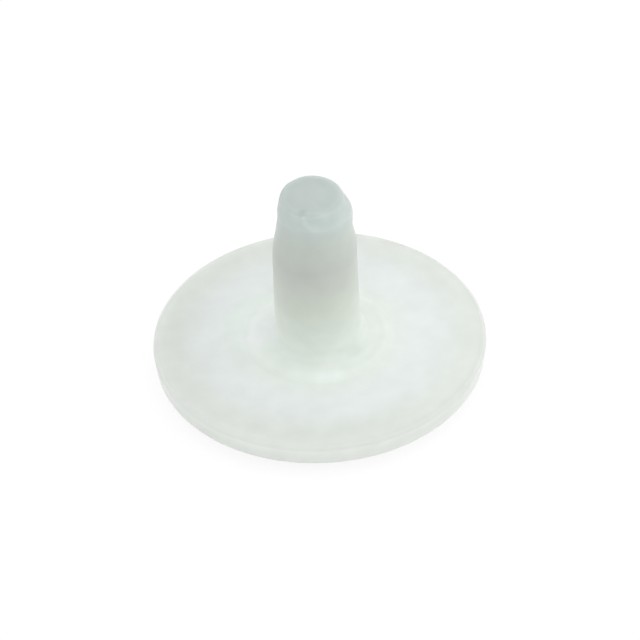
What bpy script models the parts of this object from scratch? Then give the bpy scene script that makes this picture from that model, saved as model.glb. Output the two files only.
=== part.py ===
"""Push-in bumper: one moulded piece of milky plastic, with a round head and a plain stem.

Metres, +Z up. The bumper stands on its contact face with the stem pointing up along +Z.
The origin is the centre of the contact face.
"""
import math

import bmesh
import bpy
from mathutils import Vector

# Head: a thin disc. The stem's side is a flat bearing face, the other side a crowned contact face.
HEAD_DIAMETER = 0.0200
RIM_THICKNESS = 0.00134
RIM_DRAFT = 0.00016
RIM_TOP_ROUND = 0.0002
RIM_BOTTOM_ROUND = 0.0003
CROWN_HEIGHT = 0.0008
CROWN_WIDTH = 0.0031

# Hub: the low raised ring at the stem's root, with a sloped side.
HUB_LEDGE = 0.00155
HUB_HEIGHT = 0.0002
HUB_SLOPE = 0.0005
HUB_EDGE_ROUND = 0.0006
HUB_FOOT_FILLET = 0.0006
ROOT_FILLET = 0.0003

# Stem: a straight shank that presses into a drilled hole.
STEM_DIAMETER = 0.0049
STEM_LENGTH = 0.01065

# Lead-in: a taper down to a slimmer pilot, with a chamfer round the flat end.
TAPER_LENGTH = 0.0012
TAPER_BLEND = 0.004
PILOT_STEP = 0.00024
PILOT_LENGTH = 0.00245
PILOT_DRAFT = 0.00005
CHAMFER_WIDTH = 0.00047
CHAMFER_LENGTH = 0.00115
CHAMFER_ROUND = 0.0005
END_EDGE_ROUND = 0.00015

# Fineness of the facets round the axis and along the arcs of the half section.
TURN_STEPS = 72
ARC_STEP = math.radians(18)
CROWN_STEPS = 7

PLASTIC_COLOUR = (0.76, 0.82, 0.78, 1.0)
PLASTIC_ROUGHNESS = 0.38


def clear_scene():
    for item in list(bpy.data.objects):
        bpy.data.objects.remove(item, do_unlink=True)


def arc(centre, radius, start, end, steps):
    """Points of an arc from one angle to another, with both ends."""
    turns = [start + (end - start) * i / steps for i in range(steps + 1)]
    return [centre + Vector((math.cos(turn), math.sin(turn))) * radius for turn in turns]


def fillet(before, corner, after, radius):
    """The arc that rounds a corner. It takes at most half of the shorter side beside it."""
    back = before - corner
    ahead = after - corner
    opening = back.angle(ahead)
    reach = min(radius / math.tan(opening / 2), back.length / 2, ahead.length / 2)
    radius = reach * math.tan(opening / 2)
    middle = (back.normalized() + ahead.normalized()).normalized()
    centre = corner + middle * (radius / math.sin(opening / 2))
    first = corner + back.normalized() * reach - centre
    last = corner + ahead.normalized() * reach - centre
    start = math.atan2(first.y, first.x)
    turn = last.angle_signed(first)
    steps = max(2, math.ceil(abs(turn) / ARC_STEP))
    return arc(centre, radius, start, start + turn, steps)


def rounded(corners):
    """A line through corners given as (radius from the axis, height, rounding)."""
    places = [Vector((across, height)) for across, height, _ in corners]
    line = [places[0]]
    for i in range(1, len(corners) - 1):
        line += fillet(places[i - 1], places[i], places[i + 1], corners[i][2])
    line.append(places[-1])
    return line


def upper_side(rim_top, rim_corner):
    """Half section from the middle of the stem's end, down the stem, to the side of the rim."""
    bearing = rim_top.y
    hub_top = bearing + HUB_HEIGHT
    end = bearing + STEM_LENGTH
    shank = STEM_DIAMETER / 2
    hub_edge = shank + HUB_LEDGE
    hub_foot = hub_edge + HUB_SLOPE
    pilot_base = shank - PILOT_STEP
    pilot_tip = pilot_base - PILOT_DRAFT
    pilot_start = end - PILOT_LENGTH
    return rounded([
        (0.0, end, 0.0),
        (pilot_tip - CHAMFER_WIDTH, end, END_EDGE_ROUND),
        (pilot_tip, end - CHAMFER_LENGTH, CHAMFER_ROUND),
        (pilot_base, pilot_start, TAPER_BLEND),
        (shank, pilot_start - TAPER_LENGTH, TAPER_BLEND),
        (shank, hub_top, ROOT_FILLET),
        (hub_edge, hub_top, HUB_EDGE_ROUND),
        (hub_foot, bearing, HUB_FOOT_FILLET),
        (rim_top.x, rim_top.y, RIM_TOP_ROUND),
        (rim_corner.x, rim_corner.y, 0.0),
    ])


def contact_side(rim_top, rim_corner):
    """Half section from the side of the rim, along the crowned face, to the middle of the foot.

    The crown is one arc that leaves the flat foot level and would meet the wall at its corner.
    The edge's rounding touches both the straight wall and the crown's arc from inside.
    """
    crown_radius = (CROWN_WIDTH ** 2 + CROWN_HEIGHT ** 2) / (2 * CROWN_HEIGHT)
    crown_centre = Vector((rim_corner.x - CROWN_WIDTH, crown_radius))
    down = (rim_corner - rim_top).normalized()
    inward = Vector((down.y, -down.x))
    offset = rim_corner + inward * RIM_BOTTOM_ROUND - crown_centre
    reach = crown_radius - RIM_BOTTOM_ROUND
    along = math.sqrt(offset.dot(down) ** 2 - offset.length_squared + reach ** 2) - offset.dot(down)
    edge_centre = crown_centre + offset + down * along
    to_edge = edge_centre - crown_centre
    wall_angle = math.atan2(-inward.y, -inward.x)
    meeting = math.atan2(to_edge.y, to_edge.x)
    edge_steps = math.ceil((wall_angle - meeting) / ARC_STEP)
    edge = arc(edge_centre, RIM_BOTTOM_ROUND, wall_angle, meeting, edge_steps)
    crown = arc(crown_centre, crown_radius, meeting, -math.pi / 2, CROWN_STEPS)
    return edge + crown[1:] + [Vector((0.0, 0.0))]


def half_section():
    """The bumper's outline on one side of its axis, from the stem's end down to the foot."""
    rim_top = Vector((HEAD_DIAMETER / 2, CROWN_HEIGHT + RIM_THICKNESS))
    rim_corner = Vector((rim_top.x - RIM_DRAFT, CROWN_HEIGHT))
    return upper_side(rim_top, rim_corner)[:-1] + contact_side(rim_top, rim_corner)


def turned_object(name, section, collection):
    """A solid of revolution about Z: the section as a chain of edges under a Screw modifier."""
    mesh = bpy.data.meshes.new(name)
    shape = bmesh.new()
    chain = [shape.verts.new((point.x, 0.0, point.y)) for point in section]
    for upper, lower in zip(chain, chain[1:]):
        shape.edges.new((upper, lower))
    shape.to_mesh(mesh)
    shape.free()
    body = bpy.data.objects.new(name, mesh)
    collection.objects.link(body)
    turn = body.modifiers.new("Turn", "SCREW")
    turn.axis = "Z"
    turn.angle = math.tau
    turn.steps = TURN_STEPS
    turn.render_steps = TURN_STEPS
    turn.use_merge_vertices = True
    turn.merge_threshold = 0.000001
    turn.use_smooth_shade = True
    return body


def milky_plastic():
    material = bpy.data.materials.new("Milky plastic")
    material.use_nodes = True
    shader = material.node_tree.nodes["Principled BSDF"]
    shader.inputs["Base Color"].default_value = PLASTIC_COLOUR
    shader.inputs["Roughness"].default_value = PLASTIC_ROUGHNESS
    shader.inputs["Metallic"].default_value = 0.0
    return material


def main():
    clear_scene()
    collection = bpy.data.collections.new("Push-in bumper")
    bpy.context.scene.collection.children.link(collection)
    bumper = turned_object("push_in_bumper", half_section(), collection)
    bumper.data.materials.append(milky_plastic())


main()
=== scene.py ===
"""Push-in bumper: the finish of its milky plastic, standing stem up on a white table."""

import math

import bmesh
import bpy
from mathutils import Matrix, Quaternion, Vector, noise


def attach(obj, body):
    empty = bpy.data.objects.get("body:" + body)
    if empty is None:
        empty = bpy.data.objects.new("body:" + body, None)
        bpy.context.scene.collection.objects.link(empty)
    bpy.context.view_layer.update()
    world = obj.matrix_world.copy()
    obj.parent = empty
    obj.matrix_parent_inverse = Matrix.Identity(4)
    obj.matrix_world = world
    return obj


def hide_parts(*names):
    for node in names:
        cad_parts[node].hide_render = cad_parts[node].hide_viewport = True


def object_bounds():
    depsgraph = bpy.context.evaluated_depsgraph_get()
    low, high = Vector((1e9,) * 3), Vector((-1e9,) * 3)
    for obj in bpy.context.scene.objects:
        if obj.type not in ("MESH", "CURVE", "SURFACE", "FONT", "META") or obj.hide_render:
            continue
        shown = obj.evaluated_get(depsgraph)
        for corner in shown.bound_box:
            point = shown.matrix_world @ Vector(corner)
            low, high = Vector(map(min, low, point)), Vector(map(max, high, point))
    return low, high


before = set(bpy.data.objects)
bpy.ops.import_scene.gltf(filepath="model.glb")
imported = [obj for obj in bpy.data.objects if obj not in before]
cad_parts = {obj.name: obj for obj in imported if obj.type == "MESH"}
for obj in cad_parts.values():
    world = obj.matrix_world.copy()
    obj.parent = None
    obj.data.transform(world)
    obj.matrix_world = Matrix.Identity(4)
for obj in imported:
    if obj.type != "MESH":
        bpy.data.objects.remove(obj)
cad_low, cad_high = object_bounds()

MM = 0.001
WHITE = (1.0, 1.0, 1.0, 1.0)

# Half section of the moulding, in millimetres, as the solid has it.
HEAD_RADIUS = 10.0
RIM_THICKNESS = 1.34
RIM_DRAFT = 0.16
RIM_TOP_ROUND = 0.2
RIM_BOTTOM_ROUND = 0.3
CROWN_HEIGHT = 0.8
CROWN_WIDTH = 3.1
HUB_EDGE_RADIUS = 4.0
HUB_FOOT_RADIUS = 4.5
HUB_HEIGHT = 0.2
HUB_EDGE_ROUND = 0.6
HUB_FOOT_FILLET = 0.6
ROOT_FILLET = 0.3
SHANK_RADIUS = 2.45
TAPER_LENGTH = 1.2
TAPER_BLEND = 4.0
PILOT_RADIUS = 2.21
PILOT_TIP_RADIUS = 2.16
PILOT_LENGTH = 2.45
CHAMFER_WIDTH = 0.47
CHAMFER_LENGTH = 1.15
CHAMFER_ROUND = 0.5
END_EDGE_ROUND = 0.15
BEARING_HEIGHT = CROWN_HEIGHT + RIM_THICKNESS
END_HEIGHT = cad_high.z / MM

# How much fuller than the solid the real moulding is, in radius.
SHANK_TOP_EXTRA = 0.02
SHANK_FOOT_EXTRA = 0.11
END_EXTRA = 0.1
END_RADIUS = PILOT_TIP_RADIUS - CHAMFER_WIDTH + END_EXTRA

# How much softer than the solid's its corners are rounded.
END_ROUND_EXTRA = 0.15
ROOT_ROUND_EXTRA = 0.3
RIM_ROUND_EXTRA = 0.08

# The stem isn't quite straight: how far its parts stand to the right, and where the shank does so.
SHANK_SHIFT = -0.06
SHANK_SHIFT_FOOT = (BEARING_HEIGHT + 1.0, BEARING_HEIGHT + 2.5)
SHANK_SHIFT_TOP = (END_HEIGHT - 4.85, END_HEIGHT - 3.25)
PILOT_SHIFT = 0.07
END_SHIFT = -0.1

# The stem's end leans to the front, from a hinge behind its middle.
END_LEAN = 0.08
END_HINGE = 1.75

# The end is a little uneven too, and the seed makes it the same in every run.
UNEVEN_SEED = 1795716289
UNEVEN_LENGTH = 1.5
UNEVEN_SPACING = 0.7
UNEVEN_DEPTH = 0.025

# Marks are pushed in towards a point on the axis, this far below them.
MARK_CENTRE_DROP = 2.0

# Fineness of the shown surface.
TURN_STEPS = 288
ARC_STEP = math.radians(7)
FEWEST_ARC_STEPS = 3
LONGEST_EDGE = 0.22

# The camera, from the photograph's outline of the head.
CAMERA_DISTANCE = 0.160
CAMERA_ELEVATION = math.radians(40.709)
CAMERA_ROLL = math.radians(-2.678)
CAMERA_NEAREST = 0.01
PIXELS_PER_MM = 16.71
FRAME_PIXELS = 640
BEARING_CENTRE_PIXEL = (319.45, 334.05)
SENSOR_WIDTH = 36.0

# The light on the piece: the room from all sides, and one soft lamp.
ROOM_LIGHT = 0.922
LAMP_POWER = 0.0095
LAMP_PLACE = Vector((0.062, -0.006, 0.036))
LAMP_SIZE = 0.09

# The table: its paper takes the shadow, and its glow keeps it white to the camera.
TABLE_HALF_SIDE = 1.5
TABLE_PAPER = (0.9, 0.9, 0.9, 1.0)
TABLE_GLOW = 1.06
TABLE_GLOW_SHARE = 0.8


def tone(red, green, blue):
    """A colour from its three levels on a screen, 0 to 255."""
    return (linear(red / 255), linear(green / 255), linear(blue / 255), 1.0)


def linear(level):
    """The amount of light at a screen's level, both from 0 to 1."""
    if level < 0.04045:
        return level / 12.92
    return ((level + 0.055) / 1.055) ** 2.4


# The colours over the head, and up the stem from the bearing face, with painted light and shade in
# them.
# Painted light and shade: the head's middle is paler with the table's light through it, and its outer
# band is darker with the shade of the gap under the rim.
HEAD_LIT_MIDDLE = tone(234, 239, 238)
HEAD_SHADED_BAND = tone(225, 229, 224)
# Painted light: the head's wall is painted lighter against the shade it is in.
WALL_PAINTED_LIGHT = tone(235, 239, 234)
# Painted shade: the head's top edge is painted darker against its glow.
HEAD_EDGE_SHADE = tone(220, 224, 219)
# Painted light: round the stem the head is painted paler and greener against the shade at the stem's
# root.
HUB_PAINTED_LIGHT = tone(237, 244, 238)
# The plastic's grey up the stem and on its end, with painted light and shade: palest at the root,
# where the head's light reaches it, and darkest at mid-shank.
STEM_TONES_AND_SHADING = [
    (0.0, tone(239, 246, 240)),
    (1.5, tone(224, 231, 223)),
    (4.2, tone(209, 215, 206)),
    (6.6, tone(198, 202, 197)),
    (8.4, tone(203, 210, 204)),
    (9.4, tone(201, 210, 207)),
    (10.0, tone(199, 209, 206)),
    (10.5, tone(194, 203, 200)),
]
END_MIDDLE = tone(199, 208, 205)
# Painted shade: the end's edge is painted darker against its glow.
END_EDGE_SHADE = tone(189, 198, 195)
# Painted shade in the dents at the end's edge, and a painted highlight on its proud marks.
DENT_SHADE = tone(178, 188, 186)
SIDE_DENT_SHADE = tone(192, 202, 199)
PROUD_HIGHLIGHT = tone(205, 215, 212)

# Where one tone gives way to the next, as radii from the axis or as heights.
SHADED_BAND_RADII = (6.3, 9.4)
LIT_WALL_RADII = (9.5, 9.8)
LIT_WALL_HEIGHTS = (1.7, 2.15)
HUB_LIGHT_RADII = (3.6, 6.6)
STEM_TONE_RADII = (2.5, 3.4)
STEM_TONE_HEIGHTS = (1.6, 2.4)
END_MIDDLE_RADII = (0.6, 1.5)
END_MIDDLE_HEIGHTS = (11.5, 12.3)

# Rings of painted shade on the edges of the head and of the stem's end, against their glow: radius,
# height and reach.
HEAD_EDGE_SHADE_RING = (HEAD_RADIUS - 0.15, BEARING_HEIGHT - 0.06, 0.3)
END_EDGE_SHADE_RING = (END_RADIUS - 0.05, END_HEIGHT - 0.06, 0.187)

# The end's edge keeps only a share of its painted shade at one place in front, which leaves a
# highlight there.
END_EDGE_HIGHLIGHT = (0.5, -1.65, END_HEIGHT)
END_EDGE_HIGHLIGHT_REACH = (0.3, 0.7)
END_EDGE_SHADE_KEPT = 0.2

# Marks at the end's edge: middle, reach, depth and tone, which is painted shade in a dent and a
# painted highlight on a proud mark. A depth below zero stands proud.
END_MARKS = [
    (Vector((-0.7, -1.5, END_HEIGHT - 0.05)), 0.34, 0.1, DENT_SHADE),
    (Vector((-0.35, -1.62, END_HEIGHT - 0.1)), 0.14, -0.03, PROUD_HIGHLIGHT),
    (Vector((-0.62, -1.75, END_HEIGHT - 0.38)), 0.15, -0.03, PROUD_HIGHLIGHT),
    (Vector((-0.5, -1.95, END_HEIGHT - 0.68)), 0.2, -0.02, PROUD_HIGHLIGHT),
    (Vector((-0.28, -2.02, END_HEIGHT - 0.88)), 0.22, -0.025, PROUD_HIGHLIGHT),
    (Vector((0.05, -2.05, END_HEIGHT - 1.0)), 0.3, -0.035, PROUD_HIGHLIGHT),
    (Vector((1.9, 0.2, END_HEIGHT - 0.45)), 0.3, 0.06, SIDE_DENT_SHADE),
]

# The painted shade of a dent and the painted highlight of a proud mark fade out this many times
# farther from the middle than the reach.
MARK_SHADING_SPREAD = 1.5

# Painted light and shade round the stem: middle, reach and tone.
# Paler patches light the shade beside and behind the stem on the left, and paint highlights on the
# hub's edge at the left and in front; dimmer ones paint the stem's shadow in front of it and shade on
# the right of its root.
PAINTED_LIGHT_PATCHES = [
    (Vector((-3.6, -0.1, BEARING_HEIGHT)), 1.8, tone(244, 255, 247)),
    (Vector((1.9, -1.8, BEARING_HEIGHT + 0.3)), 1.2, tone(226, 234, 227)),
    (Vector((-0.9, -3.4, BEARING_HEIGHT)), 1.6, tone(234, 242, 235)),
    (Vector((1.4, -3.3, BEARING_HEIGHT)), 1.3, tone(233, 241, 234)),
    (Vector((-4.05, 0.0, BEARING_HEIGHT + HUB_HEIGHT)), 0.4, tone(244, 255, 250)),
    (Vector((0.1, -4.1, BEARING_HEIGHT + 0.15)), 0.8, tone(238, 251, 241)),
    (Vector((0.95, -4.0, BEARING_HEIGHT + 0.15)), 0.8, tone(238, 251, 241)),
    (Vector((-3.4, 1.3, BEARING_HEIGHT - 1.5)), 4.0, tone(242, 254, 247)),
    (Vector((-2.4, -2.9, BEARING_HEIGHT + 0.2)), 1.5, tone(232, 239, 233)),
]

# Faint clouds in the plastic, and painted light that pales the colour slowly from left to right.
CLOUDS_PER_MM = 0.8
CLOUD_DETAIL = 3.0
CLOUD_AMOUNT = 0.12
PAINTED_LIGHT_PER_MM = 0.0035

# Painted shade dims the rim on the right, less so at the foot of its wall.
RIM_PAINTED_SHADE = 0.1
RIM_SHADE_RADII = (9.2, 9.9)
RIM_SHADE_SIDE = (-4.0, 10.0)
RIM_SHADE_HEIGHTS = (0.9, 1.5)
RIM_SHADE_FOOT_SHARE = 0.5

# Painted shade dims the hub's sloped edge on the right too.
HUB_PAINTED_SHADE = 0.045
HUB_SHADE_RADIUS = 4.0
HUB_SHADE_REACH = 0.6
HUB_SHADE_SIDE = (1.4, 3.2)

# The plastic's fine grain, its gloss, and how far light spreads in it, in metres.
GRAINS_PER_MM = 3.2
GRAIN_DETAIL = 4.0
GRAIN_STRENGTH = 0.12
GRAIN_HEIGHT = 0.00002
LEAST_ROUGHNESS = 0.32
ROUGHNESS_SPREAD = 0.12
REFRACTION = 1.5
GLOSS_LEVEL = 0.35
SCATTER_REACH = 0.001
SCATTER_BY_COLOUR = (1.0, 1.05, 1.0)


def arc(centre, radius, start, end):
    """Points of an arc from one angle to another, with both ends."""
    steps = max(FEWEST_ARC_STEPS, math.ceil(abs(end - start) / ARC_STEP))
    turns = [start + (end - start) * i / steps for i in range(steps + 1)]
    return [centre + Vector((math.cos(turn), math.sin(turn))) * radius for turn in turns]


def fillet(before, corner, after, radius):
    """The arc that rounds a corner between two straight sides."""
    back = (before - corner).normalized()
    ahead = (after - corner).normalized()
    opening = back.angle(ahead)
    reach = radius / math.tan(opening / 2)
    centre = corner + (back + ahead).normalized() * (radius / math.sin(opening / 2))
    first = corner + back * reach - centre
    last = corner + ahead * reach - centre
    start = math.atan2(first.y, first.x)
    return arc(centre, radius, start, start + last.angle_signed(first))


def rounded(corners):
    """A line through corners given as (radius from the axis, height, rounding)."""
    places = [Vector(corner[:2]) for corner in corners]
    line = [places[0]]
    for i in range(1, len(corners) - 1):
        line += fillet(places[i - 1], places[i], places[i + 1], corners[i][2])
    return line + [places[-1]]


def crowned_face(rim_top, rim_corner):
    """From the rim's wall round its lower edge and along the crown to the middle of the foot."""
    crown_radius = (CROWN_WIDTH ** 2 + CROWN_HEIGHT ** 2) / (2 * CROWN_HEIGHT)
    crown_centre = Vector((rim_corner.x - CROWN_WIDTH, crown_radius))
    down = (rim_corner - rim_top).normalized()
    inward = Vector((down.y, -down.x))
    offset = rim_corner + inward * RIM_BOTTOM_ROUND - crown_centre
    reach = crown_radius - RIM_BOTTOM_ROUND
    along = math.sqrt(offset.dot(down) ** 2 - offset.length_squared + reach ** 2) - offset.dot(down)
    to_edge = offset + down * along
    meeting = math.atan2(to_edge.y, to_edge.x)
    edge = arc(crown_centre + to_edge, RIM_BOTTOM_ROUND, math.atan2(-inward.y, -inward.x), meeting)
    crown = arc(crown_centre, crown_radius, meeting, -math.pi / 2)
    return edge + crown[1:] + [Vector((0.0, 0.0))]


def half_section():
    """The outline on one side of the axis, from the middle of the stem's end to the foot."""
    rim_top = Vector((HEAD_RADIUS, BEARING_HEIGHT))
    rim_corner = Vector((HEAD_RADIUS - RIM_DRAFT, CROWN_HEIGHT))
    hub_top = BEARING_HEIGHT + HUB_HEIGHT
    pilot_start = END_HEIGHT - PILOT_LENGTH
    upper = rounded([
        (0.0, END_HEIGHT, 0.0),
        (END_RADIUS, END_HEIGHT, END_EDGE_ROUND + END_ROUND_EXTRA),
        (PILOT_TIP_RADIUS, END_HEIGHT - CHAMFER_LENGTH, CHAMFER_ROUND),
        (PILOT_RADIUS, pilot_start, TAPER_BLEND),
        (SHANK_RADIUS + SHANK_TOP_EXTRA, pilot_start - TAPER_LENGTH, TAPER_BLEND),
        (SHANK_RADIUS + SHANK_FOOT_EXTRA, hub_top, ROOT_FILLET + ROOT_ROUND_EXTRA),
        (HUB_EDGE_RADIUS, hub_top, HUB_EDGE_ROUND),
        (HUB_FOOT_RADIUS, BEARING_HEIGHT, HUB_FOOT_FILLET),
        (rim_top.x, rim_top.y, RIM_TOP_ROUND + RIM_ROUND_EXTRA),
        (rim_corner.x, rim_corner.y, 0.0),
    ])
    return upper[:-1] + crowned_face(rim_top, rim_corner)


def divided(line):
    """The same line with its long straight stretches cut into short ones."""
    points = [line[0]]
    for start, end in zip(line, line[1:]):
        cuts = max(1, math.ceil((end - start).length / LONGEST_EDGE))
        points += [start.lerp(end, i / cuts) for i in range(1, cuts + 1)]
    return points


def soft_rise(value, low, high):
    """0 below low, 1 above high, and a soft curve between them."""
    share = min(max((value - low) / (high - low), 0.0), 1.0)
    return share * share * (3.0 - 2.0 * share)


def as_moulded(place):
    """A point of the perfect turned shape, moved to where the uneven moulding has it."""
    on_shank = soft_rise(place.z, *SHANK_SHIFT_FOOT) * (1.0 - soft_rise(place.z, *SHANK_SHIFT_TOP))
    on_pilot = soft_rise(place.z, END_HEIGHT - PILOT_LENGTH, END_HEIGHT - UNEVEN_LENGTH)
    near_end = soft_rise(place.z, END_HEIGHT - UNEVEN_LENGTH, END_HEIGHT)
    shift = END_SHIFT * near_end + PILOT_SHIFT * on_pilot * (1.0 - near_end)
    shift += SHANK_SHIFT * on_shank
    sink = END_LEAN * (place.y - END_HINGE) * near_end
    wander = noise.noise_vector(place / UNEVEN_SPACING) * (UNEVEN_DEPTH * near_end)
    wander.z = min(wander.z, 0.0)
    mark = sum(depth * math.exp(-(place - middle).length_squared / reach ** 2)
               for middle, reach, depth, _ in END_MARKS)
    inward = (Vector((0.0, 0.0, place.z - MARK_CENTRE_DROP)) - place).normalized()
    return place + Vector((shift, 0.0, sink)) + wander + inward * mark


def turned_mesh(name, line):
    """A closed smooth mesh of the half section turned about Z, in metres."""
    mesh = bpy.data.meshes.new(name)
    shape = bmesh.new()
    rings = []
    for point in line[1:-1]:
        ring = []
        for i in range(TURN_STEPS):
            turn = math.tau * i / TURN_STEPS
            place = Vector((point.x * math.cos(turn), point.x * math.sin(turn), point.y))
            ring.append(shape.verts.new(as_moulded(place) * MM))
        rings.append(ring)
    for upper, lower in zip(rings, rings[1:]):
        for i in range(TURN_STEPS):
            after = (i + 1) % TURN_STEPS
            shape.faces.new((upper[i], lower[i], lower[after], upper[after]))
    for ring, middle, from_below in ((rings[0], line[0], False), (rings[-1], line[-1], True)):
        pole = shape.verts.new(as_moulded(Vector((0.0, 0.0, middle.y))) * MM)
        for i in range(TURN_STEPS):
            pair = (ring[i], ring[(i + 1) % TURN_STEPS])
            shape.faces.new((pole, *(reversed(pair) if from_below else pair)))
    shape.to_mesh(mesh)
    shape.free()
    mesh.shade_smooth()
    return mesh


class Value:
    """A socket in a material. Arithmetic on it adds Math nodes."""

    def __init__(self, shader, socket):
        self.shader = shader
        self.socket = socket

    def maths(self, operation, *terms):
        return self.shader.add("ShaderNodeMath", {"operation": operation}, dict(enumerate(terms)))

    def __add__(self, other):
        return self.maths("ADD", self, other)

    __radd__ = __add__

    def __sub__(self, other):
        return self.maths("SUBTRACT", self, other)

    def __rsub__(self, other):
        return self.maths("SUBTRACT", other, self)

    def __mul__(self, other):
        return self.maths("MULTIPLY", self, other)

    __rmul__ = __mul__

    def __truediv__(self, other):
        return self.maths("DIVIDE", self, other)

    def root(self):
        return self.maths("SQRT", self)

    def either(self, other):
        return self.maths("MAXIMUM", self, other)

    def rise(self, low, high):
        """0 below low and 1 above high, with a soft rise between them."""
        limits = {"Value": self, "From Min": low, "From Max": high}
        return self.shader.add("ShaderNodeMapRange", {"interpolation_type": "SMOOTHSTEP"}, limits)

    def fall(self, low, high):
        """1 below low and 0 above high, with a soft fall between them."""
        return 1.0 - self.rise(low, high)

    def at_least(self, share):
        """The same from a least share to 1 instead of from 0 to 1."""
        return self * (1.0 - share) + share


class Shader:
    """The node tree of a material or the world."""

    def __init__(self, owner):
        owner.use_nodes = True
        self.tree = owner.node_tree
        self.tree.nodes.clear()

    def add(self, kind, settings=None, inputs=None, output=0):
        """A node with its settings and its sockets' values or links; gives one of its outputs."""
        node = self.tree.nodes.new(kind)
        for name, setting in (settings or {}).items():
            if name == "stops":
                self.set_stops(node.color_ramp.elements, setting)
            else:
                setattr(node, name, setting)
        for key, value in (inputs or {}).items():
            if isinstance(value, Value):
                self.tree.links.new(value.socket, node.inputs[key])
            else:
                node.inputs[key].default_value = value
        if not node.outputs:
            return None
        return Value(self, node.outputs[output])

    def set_stops(self, elements, stops):
        """The stops of a ramp, as (place from 0 to 1, colour) from low to high."""
        while len(elements) < len(stops):
            elements.new(1.0)
        for element, (place, colour) in zip(elements, stops):
            element.position = place
            element.color = colour

    def blend(self, share, first, second):
        """One colour at share 0, the other at share 1."""
        colours = {0: share, 6: first, 7: second}
        return self.add("ShaderNodeMix", {"data_type": "RGBA"}, colours, output=2)

    def scaled(self, vector, scale):
        """A place or a colour, made larger or smaller."""
        return self.add("ShaderNodeVectorMath", {"operation": "SCALE"}, {0: vector, "Scale": scale})

    def clouds(self, place, per_mm, detail):
        """Soft noise from 0 to 1, with so many spots to a millimetre."""
        pattern = {"Vector": place, "Scale": per_mm, "Detail": detail}
        return self.add("ShaderNodeTexNoise", inputs=pattern)

    def seen(self):
        """1 for rays that come from the camera, a reflection or a refraction."""
        camera_ray = self.add("ShaderNodeLightPath", output="Is Camera Ray")
        glossy_ray = self.add("ShaderNodeLightPath", output="Is Glossy Ray")
        through_ray = self.add("ShaderNodeLightPath", output="Is Transmission Ray")
        return camera_ray.either(glossy_ray).either(through_ray)


class Spot:
    """The point of the bumper that is being shaded, in millimetres."""

    def __init__(self, shader):
        self.shader = shader
        self.place = shader.scaled(shader.add("ShaderNodeTexCoord", output="Object"), 1 / MM)
        self.x = self.along("X")
        self.y = self.along("Y")
        self.height = self.along("Z")
        self.across = (self.x * self.x + self.y * self.y).root()

    def along(self, axis):
        return self.shader.add("ShaderNodeSeparateXYZ", inputs={0: self.place}, output=axis)

    def distance(self, middle):
        """How far the point is from another."""
        ends = {0: self.place, 1: middle}
        return self.shader.add("ShaderNodeVectorMath", {"operation": "DISTANCE"}, ends, output="Value")


def near_ring(across, height, radius, level, reach):
    """1 on a ring round the axis, at a radius and a height, and 0 beyond its reach."""
    out = across - radius
    up = height - level
    return (out * out + up * up).fall(0.0, reach ** 2)


def head_colour(shader, spot):
    """The head's painted light and shade: a lit middle, a shaded band, a lit wall, a shaded top edge
    and a lit hub.
    """
    colour = shader.blend(spot.across.rise(*SHADED_BAND_RADII), HEAD_LIT_MIDDLE, HEAD_SHADED_BAND)
    on_lit_wall = spot.across.rise(*LIT_WALL_RADII) * spot.height.fall(*LIT_WALL_HEIGHTS)
    colour = shader.blend(on_lit_wall, colour, WALL_PAINTED_LIGHT)
    colour = shader.blend(near_ring(spot.across, spot.height, *HEAD_EDGE_SHADE_RING), colour, HEAD_EDGE_SHADE)
    return shader.blend(spot.across.fall(*HUB_LIGHT_RADII), colour, HUB_PAINTED_LIGHT)


def stem_colour(shader, spot):
    """Greyer towards the end, with painted light and shade up the stem, painted shade on the end's
    edge, and painted shade and highlights at its marks.
    """
    stops = [((BEARING_HEIGHT + up) / END_HEIGHT, colour) for up, colour in STEM_TONES_AND_SHADING]
    colour = shader.add("ShaderNodeValToRGB", {"stops": stops}, {0: spot.height / END_HEIGHT})
    on_end = spot.across.fall(*END_MIDDLE_RADII) * spot.height.rise(*END_MIDDLE_HEIGHTS)
    colour = shader.blend(on_end, colour, END_MIDDLE)
    near_end = spot.height.rise(END_HEIGHT - UNEVEN_LENGTH, END_HEIGHT)
    side = spot.x - near_end * END_SHIFT
    across = (side * side + spot.y * spot.y).root()
    height = spot.height - near_end * (spot.y - END_HINGE) * END_LEAN
    # Painted shade on the end's edge, kept only in part at one place in front so that a highlight
    # shows there.
    edge_shade_kept = spot.distance(END_EDGE_HIGHLIGHT).rise(*END_EDGE_HIGHLIGHT_REACH).at_least(END_EDGE_SHADE_KEPT)
    colour = shader.blend(near_ring(across, height, *END_EDGE_SHADE_RING) * edge_shade_kept, colour, END_EDGE_SHADE)
    for middle, reach, _, mark_shading in END_MARKS:
        near_mark = spot.distance(middle).fall(0.0, reach * MARK_SHADING_SPREAD)
        colour = shader.blend(near_mark, colour, mark_shading)
    return colour


def clouds_and_painted_light(shader, spot):
    """The share by which the colour is paler or dimmer from place to place: faint clouds in the
    plastic, painted light growing to the right, and painted shade on the rim and the hub's edge at the
    right.
    """
    cloud = shader.clouds(spot.place, CLOUDS_PER_MM, CLOUD_DETAIL)
    up_wall = spot.height.rise(*RIM_SHADE_HEIGHTS).at_least(RIM_SHADE_FOOT_SHARE)
    # Painted shade on the rim at the right.
    rim = spot.across.rise(*RIM_SHADE_RADII) * spot.x.rise(*RIM_SHADE_SIDE) * up_wall
    # Painted shade on the hub's sloped edge at the right.
    off_hub = spot.across - HUB_SHADE_RADIUS
    hub = (off_hub * off_hub).fall(0.0, HUB_SHADE_REACH ** 2) * spot.x.rise(*HUB_SHADE_SIDE)
    paler = (cloud - 0.5) * CLOUD_AMOUNT + spot.x * PAINTED_LIGHT_PER_MM + 1.0
    return paler - rim * RIM_PAINTED_SHADE - hub * HUB_PAINTED_SHADE


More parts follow.
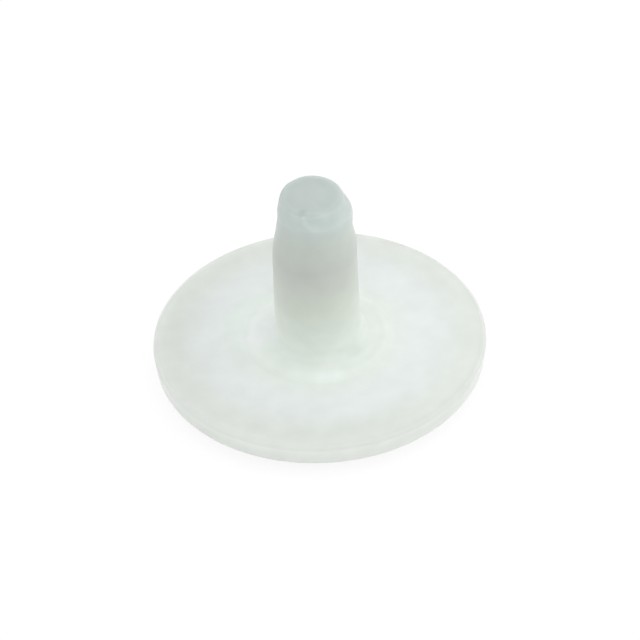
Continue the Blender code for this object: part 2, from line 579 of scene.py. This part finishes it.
def milky_plastic():
    """Milky, slightly green plastic, greyer up the stem, with painted light and shade over head and
    stem.
    """
    material = bpy.data.materials.new("Milky plastic")
    shader = Shader(material)
    spot = Spot(shader)
    on_stem = spot.across.fall(*STEM_TONE_RADII) * spot.height.rise(*STEM_TONE_HEIGHTS)
    colour = shader.blend(on_stem, head_colour(shader, spot), stem_colour(shader, spot))
    # Patches of painted light and shade.
    for middle, reach, painted_patch in PAINTED_LIGHT_PATCHES:
        colour = shader.blend(spot.distance(middle).fall(0.0, reach), colour, painted_patch)
    grain = shader.clouds(spot.place, GRAINS_PER_MM, GRAIN_DETAIL)
    bump = shader.add("ShaderNodeBump", inputs={
        "Strength": GRAIN_STRENGTH,
        "Distance": GRAIN_HEIGHT,
        "Height": grain,
    })
    surface = shader.add("ShaderNodeBsdfPrincipled", {"subsurface_method": "RANDOM_WALK"}, {
        "Base Color": shader.scaled(colour, clouds_and_painted_light(shader, spot)),
        "Roughness": grain * ROUGHNESS_SPREAD + LEAST_ROUGHNESS,
        "IOR": REFRACTION,
        "Specular IOR Level": GLOSS_LEVEL,
        "Subsurface Weight": 1.0,
        "Subsurface Radius": SCATTER_BY_COLOUR,
        "Subsurface Scale": SCATTER_REACH,
        "Normal": bump,
    })
    shader.add("ShaderNodeOutputMaterial", inputs={"Surface": surface})
    return material


def table_white():
    """A white table that keeps a trace of the bumper's shadow."""
    material = bpy.data.materials.new("Table white")
    shader = Shader(material)
    paper = shader.add("ShaderNodeBsdfDiffuse", inputs={"Color": TABLE_PAPER})
    glow = shader.add("ShaderNodeEmission", inputs={"Color": WHITE, "Strength": TABLE_GLOW})
    share = shader.seen() * TABLE_GLOW_SHARE
    surface = shader.add("ShaderNodeMixShader", inputs={0: share, 1: paper, 2: glow})
    shader.add("ShaderNodeOutputMaterial", inputs={"Surface": surface})
    return material


def white_room():
    """Even light from all sides, and a white background."""
    world = bpy.data.worlds.new("White room")
    bpy.context.scene.world = world
    shader = Shader(world)
    strength = shader.seen().at_least(ROOM_LIGHT)
    light = shader.add("ShaderNodeBackground", inputs={"Color": WHITE, "Strength": strength})
    shader.add("ShaderNodeOutputWorld", inputs={"Surface": light})


def lamp(name, place, target, size, power):
    """A square soft lamp at a place, in metres, turned to a target."""
    data = bpy.data.lights.new(name, "AREA")
    data.shape = "SQUARE"
    data.size = size
    data.energy = power
    item = bpy.data.objects.new(name, data)
    item.location = place
    item.rotation_mode = "QUATERNION"
    item.rotation_quaternion = (target - place).to_track_quat("-Z", "Y")
    item.visible_camera = False
    bpy.context.scene.collection.objects.link(item)


def camera():
    """The photograph's view: the bearing face's middle falls on its pixel in the frame."""
    middle = Vector((0.0, 0.0, BEARING_HEIGHT * MM))
    back = Vector((0.0, -math.cos(CAMERA_ELEVATION), math.sin(CAMERA_ELEVATION)))
    place = middle + back * CAMERA_DISTANCE
    roll = Quaternion((0.0, 0.0, 1.0), CAMERA_ROLL)
    level = (middle - place).to_track_quat("-Z", "Y") @ roll
    metres_per_pixel = MM / PIXELS_PER_MM
    off_x = (BEARING_CENTRE_PIXEL[0] - FRAME_PIXELS / 2) * metres_per_pixel
    off_y = (FRAME_PIXELS / 2 - BEARING_CENTRE_PIXEL[1]) * metres_per_pixel
    aim = middle - level @ Vector((off_x, off_y, 0.0))
    data = bpy.data.cameras.new("Camera")
    data.sensor_width = SENSOR_WIDTH
    data.lens = PIXELS_PER_MM * CAMERA_DISTANCE / MM / FRAME_PIXELS * SENSOR_WIDTH
    data.clip_start = CAMERA_NEAREST
    item = bpy.data.objects.new("Camera", data)
    item.location = place
    item.rotation_mode = "QUATERNION"
    item.rotation_quaternion = (aim - place).to_track_quat("-Z", "Y") @ roll
    bpy.context.scene.collection.objects.link(item)
    bpy.context.scene.camera = item


def table():
    """The flat surface that the bumper stands on."""
    mesh = bpy.data.meshes.new("Table")
    shape = bmesh.new()
    bmesh.ops.create_grid(shape, x_segments=1, y_segments=1, size=TABLE_HALF_SIDE)
    shape.to_mesh(mesh)
    shape.free()
    mesh.materials.append(table_white())
    item = bpy.data.objects.new("Table", mesh)
    bpy.context.scene.collection.objects.link(item)


def bumper():
    """The whole moulding as one fine surface over the solid."""
    noise.seed_set(UNEVEN_SEED)
    mesh = turned_mesh("moulded_bumper", divided(half_section()))
    mesh.materials.append(milky_plastic())
    item = bpy.data.objects.new("moulded_bumper", mesh)
    bpy.context.scene.collection.objects.link(item)
    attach(item, "root")
    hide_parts("push_in_bumper")


bpy.context.scene.view_settings.view_transform = "Standard"
camera()
table()
white_room()
lamp("Key lamp", LAMP_PLACE, Vector((0.0, 0.0, BEARING_HEIGHT * MM)), LAMP_SIZE, LAMP_POWER)
bumper()
